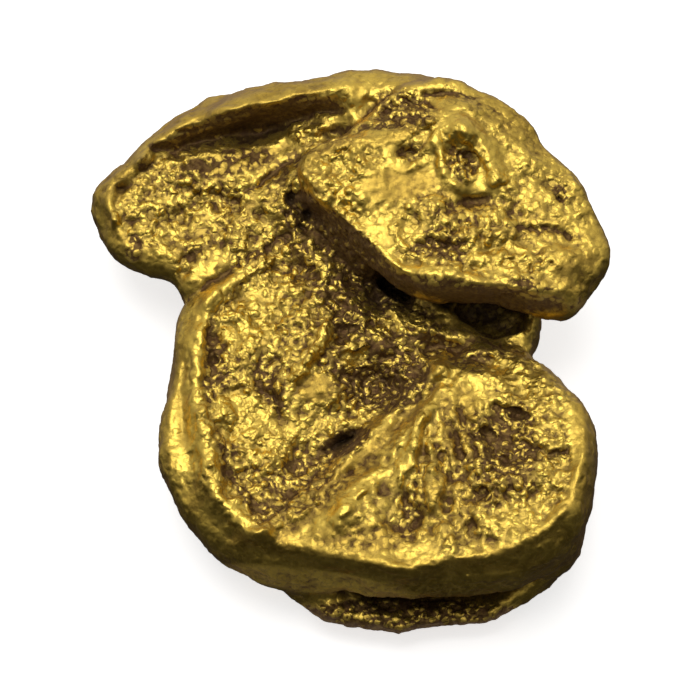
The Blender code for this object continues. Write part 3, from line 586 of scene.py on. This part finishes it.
def facing(mesh, outward):
    """How far each vertex faces outward: 0 where it is turned away or other metal is in the way."""
    bm = bmesh.new()
    bm.from_mesh(mesh)
    tree = BVHTree.FromBMesh(bm)
    clear = 0.02 * MM
    shown = []
    for vert in bm.verts:
        lean = max(0.0, min(1.0, (vert.normal.dot(outward) - 0.35) / 0.4))
        covered = lean > 0 and tree.ray_cast(vert.co + vert.normal * clear, outward)[0] is not None
        shown.append(0.0 if covered else lean)
    bm.free()
    return np.array(shown)


class Neighbours:
    """The edges of a mesh, for evening out values over it."""

    def __init__(self, mesh):
        edges = np.empty(len(mesh.edges) * 2, np.int32)
        mesh.edges.foreach_get("vertices", edges)
        self.a, self.b = edges.reshape(-1, 2).T
        self.size = len(mesh.vertices)
        self.count = np.bincount(self.a, minlength=self.size) + np.bincount(self.b, minlength=self.size)

    def spread(self, values, rounds):
        """Each round takes a vertex half way to the mean of its neighbours."""
        for _ in range(rounds):
            total = np.bincount(self.a, values[self.b], self.size)
            total += np.bincount(self.b, values[self.a], self.size)
            values = (values + total / self.count) / 2
        return values

    def relief(self, points, normals, rounds):
        """How far each point stands out from the evened surface, in millimetres."""
        even = np.column_stack([self.spread(points[:, axis], rounds) for axis in range(3)])
        return ((points - even) * normals).sum(axis=1)


def line_share(x, w, names):
    """How near each point is to any of these ridges or channels: 1 on its line, 0 past its half width."""
    share = np.zeros(len(x))
    for name in names:
        even = [(x0, w0, 1.0, width) for x0, w0, height, width in FINE_RIDGES[name]]
        share = np.maximum(share, ridge_height(x, w, even))
    return share


def zone_values(x, w, start, zones):
    """Values over the face: each oval blends its own in over the ones before it."""
    values = np.full(len(x), float(start))
    for zone in zones.values():
        share = smooth_step(*ZONE_EDGE, oval_distance(x, w, zone))
        values += (zone[5] - values) * share
    return values


def openness(mesh, reach):
    """The share of the directions that each vertex faces in which no metal is within `reach`."""
    bm = bmesh.new()
    bm.from_mesh(mesh)
    tree = BVHTree.FromBMesh(bm)
    golden = math.pi * (3 - math.sqrt(5))
    directions = []
    for index in range(OPENNESS_RAYS):
        level = 1 - 2 * (index + 0.5) / OPENNESS_RAYS
        out = math.sqrt(1 - level * level)
        directions.append(Vector((out * math.cos(golden * index), out * math.sin(golden * index), level)))
    shares = []
    for vert in bm.verts:
        start = vert.co + vert.normal * CLEARANCE * MM
        seen = covered = 0.0
        for direction in directions:
            weight = vert.normal.dot(direction)
            if weight > 0.1:
                seen += weight
                if tree.ray_cast(start, direction, reach)[0] is not None:
                    covered += weight
        shares.append(1 - covered / seen)
    bm.free()
    return np.array(shares)


def noise_at(points, size, offset=0.0):
    return np.array([noise.noise(Vector(p)) for p in points / size + offset])


def bead_at(points, size):
    """Rounded beads packed side by side: 1 on top of a bead and about 0 between beads."""
    nearest = np.array([noise.voronoi(Vector(p))[0][0] for p in points / size])
    return smooth_step(0.75, 0.2, nearest)


def skin_mesh(settings):
    """A fine, even copy of the solid's surface."""
    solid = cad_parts["nugget"]
    obj = bpy.data.objects.new("nugget_skin", solid.data.copy())
    bpy.context.scene.collection.objects.link(obj)
    obj.data.materials.clear()
    remesh = obj.modifiers.new("fine", "REMESH")
    remesh.mode = "VOXEL"
    remesh.voxel_size = settings.skin_step
    smooth = obj.modifiers.new("smooth", "SMOOTH")
    smooth.iterations = SKIN_SMOOTHING
    apply_modifiers(obj)
    return obj


def apply_modifiers(obj):
    graph = bpy.context.evaluated_depsgraph_get()
    mesh = bpy.data.meshes.new_from_object(obj.evaluated_get(graph))
    obj.modifiers.clear()
    obj.data = mesh


def strands(along, across):
    """Heights of long narrow lumps, about 1 apart from side to side."""
    flat = np.column_stack([along, across, np.zeros(len(along))])
    return noise_at(flat, 1.0) - 0.7 * np.abs(noise_at(flat, 0.6, 4.0))


def streak_height(x, w, streak):
    """Strands that run one way, inside an oval zone."""
    run, length, spacing, height = streak[5:]
    cos, sin = math.cos(math.radians(run)), math.sin(math.radians(run))
    share = smooth_step(1.1, 0.7, oval_distance(x, w, streak))
    return share * height * strands((x * cos + w * sin) / length, (w * cos - x * sin) / spacing)


def fan_height(x, w):
    """Strands that spread downwards from the fan's centre."""
    length, spacing, height = FAN[5:]
    right, down = x - FAN_CENTRE[0], FAN_CENTRE[1] - w
    away = np.hypot(right, down)
    share = smooth_step(1.1, 0.7, oval_distance(x, w, FAN)) * smooth_step(0.3, 1.2, away)
    return share * height * strands(away / length, np.degrees(np.arctan2(right, down)) / spacing)


def press_details(mesh):
    """Sharpen the ridges, pits and streaks of the face."""
    points = points_of(mesh)
    x, w = on_face(points)
    flat = np.column_stack([x, w, np.zeros(len(x))])
    x = x + WOBBLE * noise_at(flat, WOBBLE_SIZE, 2.0)
    w = w + WOBBLE * noise_at(flat, WOBBLE_SIZE, 6.0)
    height = np.zeros(len(points))
    for ridge in FINE_RIDGES.values():
        height += ridge_height(x, w, ridge)
    for ovals in FINE_OVALS.values():
        for oval in ovals:
            height += oval[5] * bump(oval_distance(x, w, oval))
    height *= 1 + UNEVEN_SHARE * noise_at(flat, UNEVEN_SIZE, 12.0)
    height += fan_height(x, w)
    for streak in STREAKS.values():
        height += streak_height(x, w, streak)
    near = Neighbours(mesh)
    shown = near.spread(facing(mesh, NORMAL), 10)
    height = near.spread(np.minimum(height, HIGHEST_DETAIL) * shown, 2)
    move_points(mesh, points + height[:, None] * np.array(NORMAL))


def roughness_of(mesh, near):
    """Where the skin is rough: in its zones, less on what stands out, and a little on the walls."""
    points, normals = points_of(mesh), normals_of(mesh)
    x, w = on_face(points)
    front = smooth_step(0.15, 0.5, normals @ np.array(NORMAL))
    relief = near.relief(points, normals, 60)
    rough = zone_values(x, w, BASE_ROUGHNESS, ROUGHNESS_ZONES) * smooth_step(0.2, 0.0, relief)
    rough = np.maximum(rough, RIDGE_ROUGHNESS * line_share(x, w, BRIGHT_RIDGES))
    return rough * front + WALL_ROUGHNESS * (1 - front)


def grow_grain(mesh, settings):
    """Raise beads and crumbs where the skin is rough, and sink pores where it is worn."""
    near = Neighbours(mesh)
    rough = near.spread(roughness_of(mesh, near), 3)
    points, normals = points_of(mesh), normals_of(mesh)
    bead_size, bead_height = settings.bead_size / MM, settings.bead_height / MM
    patches = 0.75 + 0.7 * noise_at(points, 0.9, 7.0)
    swirl = np.column_stack([noise_at(points, bead_size, offset) for offset in (1.0, 5.0, 9.0)])
    bent = points + 0.35 * bead_size * swirl
    grain = bead_at(bent, bead_size) - 0.5
    grain += 0.4 * (bead_at(bent + 3.1, bead_size * 0.6) - 0.5)
    grain += 1.2 * noise_at(points, bead_size * 2.5, 3.0)
    crests = 0.3 - np.abs(noise_at(points, 0.55, 31.0))
    lumps = (0.6 * noise_at(points, 0.75, 21.0) + 0.8 * crests) * settings.lump_height / MM
    pores = smooth_step(0.12, 0.4, noise_at(points, settings.pore_size / MM, 11.0))
    height = rough * (patches * grain * bead_height + lumps)
    height -= (1 - rough) * pores * settings.pore_depth / MM
    height *= smooth_step(0.0, FOOT_MARGIN, points[:, 2])
    points += height[:, None] * normals
    points[:, 2] = np.maximum(points[:, 2], 0)
    move_points(mesh, points)


def thin_skin(obj, triangles):
    thin = obj.modifiers.new("thin", "DECIMATE")
    thin.ratio = min(1.0, triangles / (2 * len(obj.data.polygons)))
    apply_modifiers(obj)


def add_values(mesh, name, values):
    layer = mesh.attributes.new(name, "FLOAT", "POINT")
    layer.data.foreach_set("value", values.astype(np.float32))


def mark_skin(mesh):
    """Store where the finish changes: relief, cover for the painted shade, steepness, rough skin, soil and
    painted shade, bright gold with painted highlight, and dull gold.
    """
    near = Neighbours(mesh)
    points, normals = points_of(mesh), normals_of(mesh)
    x, w = on_face(points)
    front = smooth_step(0.1, 0.5, normals @ np.array(NORMAL))
    add_values(mesh, "crumb", np.clip(0.5 + near.relief(points, normals, 5) / CRUMB_RELIEF, 0, 1))
    add_values(mesh, "hollow", np.clip(0.5 + near.relief(points, normals, 120) / HOLLOW_RELIEF, 0, 1))
    # How open each point is; the material paints shade from it.
    add_values(mesh, "open", near.spread(openness(mesh, OPENNESS_REACH * MM), 1))
    # Walls that face away from the face plane; the material paints them darker and browner, partly as
    # tarnish and partly as shade.
    add_values(mesh, "wall", near.spread(1 - front, 2))
    add_values(mesh, "steep", near.spread(smooth_step(0.7, 0.4, normals[:, 2]), 2))
    add_values(mesh, "rough", zone_values(x, w, BASE_ROUGHNESS, ROUGHNESS_ZONES) * front)
    # Soil zones and channels: partly brown stain, partly painted shade under overhangs and in crevices.
    channels = CHANNEL_SOIL_AND_SHADE * line_share(x, w, CHANNELS) * front
    add_values(mesh, "soil_and_shade", np.maximum(zone_values(x, w, 0.0, SOIL_AND_SHADE_ZONES), channels))
    # Bright zones and bright ridges: partly polish, partly painted highlight.
    polish_and_highlight = np.maximum(zone_values(x, w, 0.0, POLISH_AND_HIGHLIGHT_ZONES), RIDGE_POLISH_AND_HIGHLIGHT * line_share(x, w, BRIGHT_RIDGES))
    add_values(mesh, "polish_and_highlight", polish_and_highlight * front)
    dull = np.maximum(zone_values(x, w, 0.0, DULL_ZONES), RIDGE_DULLNESS * line_share(x, w, OLIVE_RIDGES))
    add_values(mesh, "dull", dull * front)


class Value:
    """A socket of a shader. Arithmetic on it adds Math nodes."""

    def __init__(self, shader, socket):
        self.shader = shader
        self.socket = socket

    def math(self, operation, *others, clamp=False):
        inputs = dict(enumerate((self, *others)))
        return self.shader.node("ShaderNodeMath", {"operation": operation, "use_clamp": clamp}, inputs)

    def __add__(self, other):
        return self.math("ADD", other)

    __radd__ = __add__

    def __mul__(self, other):
        return self.math("MULTIPLY", other)

    __rmul__ = __mul__

    def __sub__(self, other):
        return self.math("SUBTRACT", other)

    def __rsub__(self, other):
        return self.shader.node("ShaderNodeMath", {"operation": "SUBTRACT"}, {0: other, 1: self})

    def __abs__(self):
        return self.math("ABSOLUTE")

    def clamped(self):
        return self.math("ADD", 0.0, clamp=True)


class Shader:
    """Adds nodes to a material or a world."""

    def __init__(self, owner):
        self.owner = owner
        owner.use_nodes = True
        self.tree = owner.node_tree

    def node(self, kind, settings, inputs, output=0):
        """Make a node: its settings first, then the values or links of its sockets."""
        node = self.tree.nodes.new(kind)
        for key, value in settings.items():
            setattr(node, key, value)
        for key, value in inputs.items():
            self.feed(node.inputs[key], value)
        return Value(self, node.outputs[output])

    def feed(self, socket, value):
        if isinstance(value, Value):
            self.tree.links.new(value.socket, socket)
        else:
            socket.default_value = value

    def set(self, **inputs):
        """Set the main shader's sockets: `Base_Color` for Base Color, and so on."""
        principled = self.tree.nodes["Principled BSDF"]
        for key, value in inputs.items():
            self.feed(principled.inputs[key.replace("_", " ")], value)

    def attribute(self, name):
        return self.node("ShaderNodeAttribute", {"attribute_name": name}, {}, "Fac")

    def position(self, kind="Object"):
        return self.node("ShaderNodeTexCoord", {}, {}, kind)

    def noise(self, size, detail=3.0):
        """Noise from 0 to 1 whose lumps are `size` metres wide."""
        inputs = {"Vector": self.position(), "Scale": 1 / size, "Detail": detail, "Roughness": 0.55}
        return self.node("ShaderNodeTexNoise", {}, inputs, "Fac")

    def cells(self, size, vector, output="Distance"):
        """Distance from the middle of the nearest cell, where cells are `size` metres wide."""
        return self.node("ShaderNodeTexVoronoi", {}, {"Vector": vector, "Scale": 1 / size}, output)

    def cell_tone(self, size, vector):
        """A number from 0 to 1 for each cell."""
        return self.node("ShaderNodeSeparateColor", {}, {0: self.cells(size, vector, "Color")})

    def bent_position(self, size, reach):
        """The position, bent by noise, so that cells come out irregular."""
        inputs = {"Vector": self.position(), "Scale": 1 / size, "Detail": 2.0}
        swirl = self.node("ShaderNodeTexNoise", {}, inputs, "Color")
        centred = self.vector("SUBTRACT", {0: swirl, 1: (0.5, 0.5, 0.5)})
        offset = self.vector("SCALE", {0: centred, "Scale": reach})
        return self.vector("ADD", {0: self.position(), 1: offset})

    def vector(self, operation, inputs, output=0):
        return self.node("ShaderNodeVectorMath", {"operation": operation}, inputs, output)

    def step(self, low, high, value):
        """0 below low, 1 above high, and an even curve between."""
        settings = {"interpolation_type": "SMOOTHSTEP"}
        inputs = {"Value": value, "From Min": low, "From Max": high}
        if low > high:
            inputs.update({"From Min": high, "From Max": low, "To Min": 1.0, "To Max": 0.0})
        return self.node("ShaderNodeMapRange", settings, inputs, "Result")

    def mix(self, share, first, second):
        """A colour between two colours."""
        settings = {"data_type": "RGBA", "clamp_factor": True}
        return self.node("ShaderNodeMix", settings, {0: share, 6: rgba(first), 7: rgba(second)}, 2)

    def bump(self, height, distance, strength):
        inputs = {"Height": height, "Distance": distance, "Strength": strength}
        return self.node("ShaderNodeBump", {}, inputs, "Normal")


def rgba(colour):
    return colour if isinstance(colour, Value) else (*colour, 1.0)


def gold_material(settings):
    """Worn natural gold: bright on ridges and beads, partly as painted highlight; olive where smooth; brown
    in pits and folds, partly stain and partly painted shade; near-black painted shade where other metal
    covers the skin.
    """
    shader = Shader(bpy.data.materials.new("natural_gold"))
    crumb, hollow, opened, wall, steep, rough, soil_and_shade, polish_and_highlight, worn = (
        shader.attribute(name)
        for name in ("crumb", "hollow", "open", "wall", "steep", "rough", "soil_and_shade", "polish_and_highlight", "dull")
    )
    patches = shader.noise(1.2 * MM)
    flecks = shader.noise(0.1 * MM)
    bent = shader.bent_position(0.2 * MM, 0.14 * MM)
    beads = shader.cells(0.19 * MM, bent)
    tone = shader.cell_tone(0.19 * MM, bent)
    grains = shader.cells(0.09 * MM, bent)
    gaps = shader.step(0.46, 0.64, beads)
    worms = shader.step(0.03, 0.0, abs(shader.noise(0.25 * MM, 2.0) - 0.5))
    low = shader.step(0.52, 0.22, crumb)
    deep = shader.step(0.48, 0.1, hollow)
    # Painted shade where other metal covers the skin, and lighter painted shade where it is only sheltered.
    covered = shader.step(0.65, 0.2, opened)
    sheltered_shade = shader.step(0.95, 0.6, opened)
    # Dirt and painted shade together: darker in fine and broad hollows and in bead gaps, and darkest as
    # painted shade where the skin is covered or a wall is sheltered.
    grime_and_shade = low * (0.2 + 0.45 * rough) + gaps * (0.05 + 0.4 * rough) + worms * (0.3 - 0.2 * rough)
    grime_and_shade = grime_and_shade + deep * 0.25 + covered * 0.7 + wall * sheltered_shade * 0.8
    # Stain and painted shade from the soil zones, strongest on steep walls.
    steep_soil_and_shade = soil_and_shade * steep
    crust_and_shade = soil_and_shade * (0.15 + 0.8 * (low + gaps).clamped()) + steep_soil_and_shade * 1.2
    stain_and_shade = ((grime_and_shade * (0.45 + 0.9 * patches) + crust_and_shade) * (1.0 - 0.65 * polish_and_highlight)).clamped()
    # Painted highlight, partly polish: crumb tops, light bead cells and the bright zones take the bright
    # gold.
    polish_and_highlight_share = shader.step(0.5, 0.8, crumb) * 0.6 + shader.step(0.5, 0.75, tone) * rough * 0.5
    polish_and_highlight_share = (polish_and_highlight_share + polish_and_highlight).clamped()
    dull = (shader.step(0.35, 0.7, patches) * (1.0 - polish_and_highlight_share) * (1.0 - 0.7 * rough)).clamped()
    dull = (dull + shader.step(0.5, 0.2, tone) * rough * 0.6 + worn * 0.7).clamped()
    gold = shader.mix(dull, settings.bright_gold, settings.olive_gold)
    # Painted shade, partly tarnish, on walls that face away from the face plane.
    wall_tarnished_and_shaded = shader.mix(wall * 0.85, gold, settings.wall_tarnish_and_shade)
    soiled = shader.mix((stain_and_shade * (0.7 + 0.5 * flecks)).clamped(), wall_tarnished_and_shaded, settings.soil_and_shade)
    # Painted shade: near-black where the skin is covered.
    colour = shader.mix((covered * 0.6).clamped(), soiled, settings.pit_shade)
    height = shader.step(0.66, 0.25, beads) * (0.1 + 0.9 * rough) + (1.0 - grains) * (0.05 + 0.2 * rough)
    height = height + flecks * 0.15
    # Metallic falls where the skin is covered or stained, which also dims the reflections there as painted
    # shade.
    shader.set(
        Base_Color=colour,
        Metallic=(1.0 - 0.2 * stain_and_shade - 0.3 * covered - 0.7 * steep_soil_and_shade).clamped(),
        Roughness=0.29 + 0.2 * stain_and_shade + 0.1 * flecks + 0.1 * wall + 0.12 * worn,
        Normal=shader.bump(height, 0.024 * MM, 0.8),
    )
    return shader.owner


class NUGGET_OT_build(bpy.types.Operator):
    """Build the nugget's pitted skin around its solid and give it the gold finish"""

    bl_idname = "nugget.build"
    bl_label = "Build Nugget"

    def execute(self, context):
        settings = context.scene.nugget
        obj = skin_mesh(settings)
        press_details(obj.data)
        grow_grain(obj.data, settings)
        thin_skin(obj, settings.triangles)
        mark_skin(obj.data)
        obj.data.shade_smooth()
        obj.data.materials.append(gold_material(settings))
        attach(obj, "root")
        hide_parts("nugget")
        return {"FINISHED"}


class NUGGET_OT_stage(bpy.types.Operator):
    """Set up the pale floor, the softbox, the dim room and the camera"""

    bl_idname = "nugget.stage"
    bl_label = "Set Up Stage"

    def execute(self, context):
        settings = context.scene.nugget_stage
        self.add_floor(context, settings)
        self.add_softbox(context, settings)
        self.add_room(context, settings)
        self.add_camera(context, settings)
        context.scene.view_settings.view_transform = "Standard"
        return {"FINISHED"}

    def add_floor(self, context, settings):
        bm = bmesh.new()
        bmesh.ops.create_grid(bm, x_segments=1, y_segments=1, size=settings.floor_size / 2)
        mesh = bpy.data.meshes.new("floor")
        bm.to_mesh(mesh)
        bm.free()
        floor = bpy.data.objects.new("floor", mesh)
        context.scene.collection.objects.link(floor)
        shader = Shader(bpy.data.materials.new("floor"))
        colour = (*settings.floor_colour, 1.0)
        shader.set(
            Base_Color=colour, Roughness=0.9, Emission_Color=colour, Emission_Strength=settings.floor_glow
        )
        mesh.materials.append(shader.owner)
        floor.visible_glossy = False

    def add_softbox(self, context, settings):
        light = bpy.data.lights.new("softbox", "AREA")
        light.shape = "SQUARE"
        light.size = settings.softbox_size
        light.energy = settings.softbox_brightness * math.pi * settings.softbox_size**2
        softbox = bpy.data.objects.new("softbox", light)
        context.scene.collection.objects.link(softbox)
        softbox.location = SOFTBOX_PLACE
        softbox.rotation_euler = (-SOFTBOX_PLACE).to_track_quat("-Z", "Y").to_euler()

    def add_room(self, context, settings):
        """A room whose ceiling and back wall are lit, and whose front and floor are dim."""
        world = bpy.data.worlds.new("room")
        shader = Shader(world)
        sides = {0: shader.position("Generated"), 1: ROOM_LIGHT_SIDE}
        glow = shader.step(ROOM_DARK_FROM, ROOM_LIT_FROM, shader.vector("DOT_PRODUCT", sides, "Value"))
        background = world.node_tree.nodes["Background"]
        shader.feed(background.inputs["Color"], ROOM_COLOUR)
        shader.feed(background.inputs["Strength"], settings.room_shade + settings.room_brightness * glow)
        context.scene.world = world

    def add_camera(self, context, settings):
        data = bpy.data.cameras.new("camera")
        data.lens = data.sensor_width * settings.camera_distance / settings.view_width
        data.clip_start = settings.camera_distance / 50
        camera = bpy.data.objects.new("camera", data)
        context.scene.collection.objects.link(camera)
        camera.location = UP_FACE * CAMERA_AIM * MM + NORMAL * settings.camera_distance
        camera.rotation_euler = (math.pi / 2 - LEAN, 0, 0)
        context.scene.camera = camera


class NUGGET_PT_panel(bpy.types.Panel):
    """Lists the nugget's and the stage's settings"""

    bl_label = "Gold Nugget"
    bl_idname = "NUGGET_PT_panel"
    bl_space_type = "VIEW_3D"
    bl_region_type = "UI"
    bl_category = "Nugget"

    def draw(self, context):
        for operator, group in (
            (NUGGET_OT_build, context.scene.nugget),
            (NUGGET_OT_stage, context.scene.nugget_stage),
        ):
            box = self.layout.box()
            for name in group.__annotations__:
                box.prop(group, name)
            box.operator(operator.bl_idname)


CLASSES = (NuggetSettings, StageSettings, NUGGET_OT_build, NUGGET_OT_stage, NUGGET_PT_panel)


def register():
    for cls in CLASSES:
        bpy.utils.register_class(cls)
    bpy.types.Scene.nugget = PointerProperty(type=NuggetSettings)
    bpy.types.Scene.nugget_stage = PointerProperty(type=StageSettings)


def unregister():
    del bpy.types.Scene.nugget_stage
    del bpy.types.Scene.nugget
    for cls in reversed(CLASSES):
        bpy.utils.unregister_class(cls)


def main():
    register()
    bpy.ops.nugget.stage()
    bpy.ops.nugget.build()


if __name__ == "__main__":
    main()
